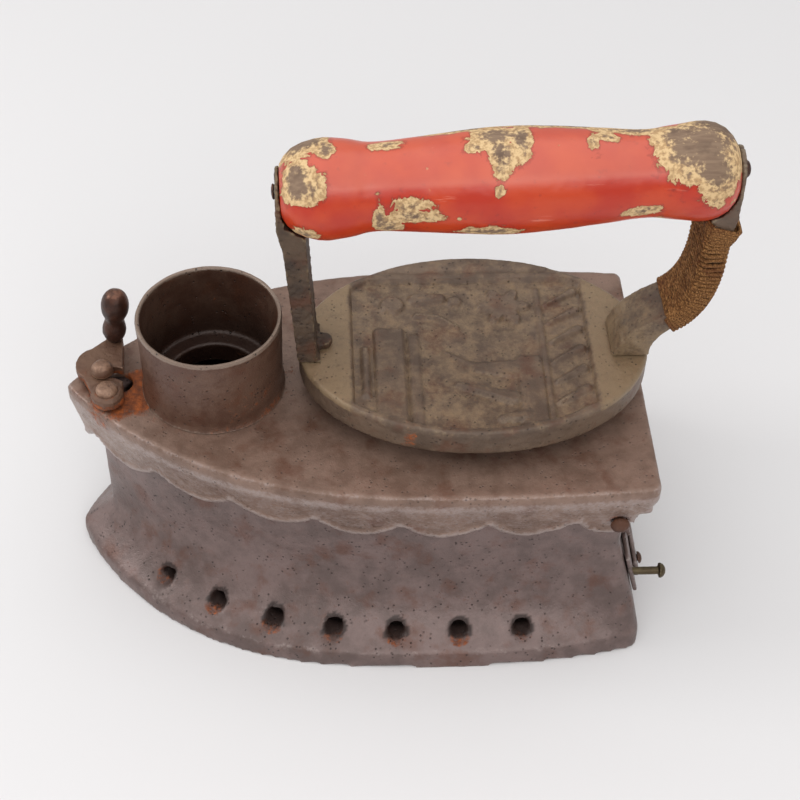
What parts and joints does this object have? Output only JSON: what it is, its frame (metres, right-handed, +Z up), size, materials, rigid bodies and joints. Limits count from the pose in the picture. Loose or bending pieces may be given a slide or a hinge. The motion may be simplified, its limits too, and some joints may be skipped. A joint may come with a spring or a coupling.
{
  "type": "charcoal clothes iron",
  "caption": "Old cast-iron charcoal clothes iron with hinged scalloped lid, round chimney, nose latch, oval heat shield and a painted turned grip with a twine-wrapped rear arm.",
  "frame": {"origin": "centre of the sole's underside, on the line halfway along the lid", "axes": "+X to the heel (the nose is at -X), +Y across to the side that the latch knob stands on, +Z up"},
  "size_m": [0.2317, 0.1394, 0.1899],
  "materials": {
    "cast_iron": "worn, brown-grey patina",
    "lid_iron": "worn, brown patina",
    "shield_iron": "rough cast, olive-grey",
    "rusty_iron": "rusty",
    "dark_steel": "dark, oxidised",
    "bright_steel": "dull",
    "red_paint": "vermilion paint, chipped to bare wood",
    "twine": "coarse brown twine"
  },
  "bodies": {
    "root": {"catch_stud": "rusty_iron", "fire_box": "cast_iron", "hinge_pin": "rusty_iron", "hinge_washer": "rusty_iron", "rail_rivet_1": "rusty_iron", "rail_rivet_2": "rusty_iron", "rail_rivet_3": "rusty_iron", "rail_rivet_4": "rusty_iron", "slide_rail_lower": "cast_iron", "slide_rail_upper": "cast_iron"},
    "lid": {"arm_nut": "dark_steel", "arm_washer": "dark_steel", "chimney": "lid_iron", "front_post": "shield_iron", "grip": "red_paint", "handle_nut": "dark_steel", "handle_rod": "dark_steel", "heat_shield": "shield_iron", "latch_pivot_rivet": "rusty_iron", "latch_washer": "dark_steel", "lid": "lid_iron", "post_nut": "dark_steel", "post_washer": "dark_steel", "rear_arm": "shield_iron", "shield_screw_front": "dark_steel", "shield_screw_rear": "dark_steel", "twine_wrap": "twine"},
    "latch": {"latch_lever": "rusty_iron", "latch_knob": "dark_steel"},
    "grate": {"charcoal_grate": "dark_steel"},
    "slide": {"draught_slide": "rusty_iron", "draught_pull": "bright_steel"}
  },
  "joints": [
    {"name": "lid_hinge", "type": "hinge", "parent": "root", "child": "lid", "pos_m": [0.09, 0, 0.062], "axis": [0, 1, 0], "range_deg": [0, 88]},
    {"name": "latch_swing", "type": "hinge", "parent": "lid", "child": "latch", "pos_m": [-0.0872, -0.009, 0.0803], "axis": [0, 0, 1], "range_deg": [0, 55]},
    {"name": "draught_slide", "type": "slide", "parent": "root", "child": "slide", "axis": [0, 1, 0], "range_m": [0, 0.01]},
    {"name": "grate_lift", "type": "slide", "parent": "root", "child": "grate", "axis": [0, 0, 1], "range_m": [0, 0.045]}
  ]
}
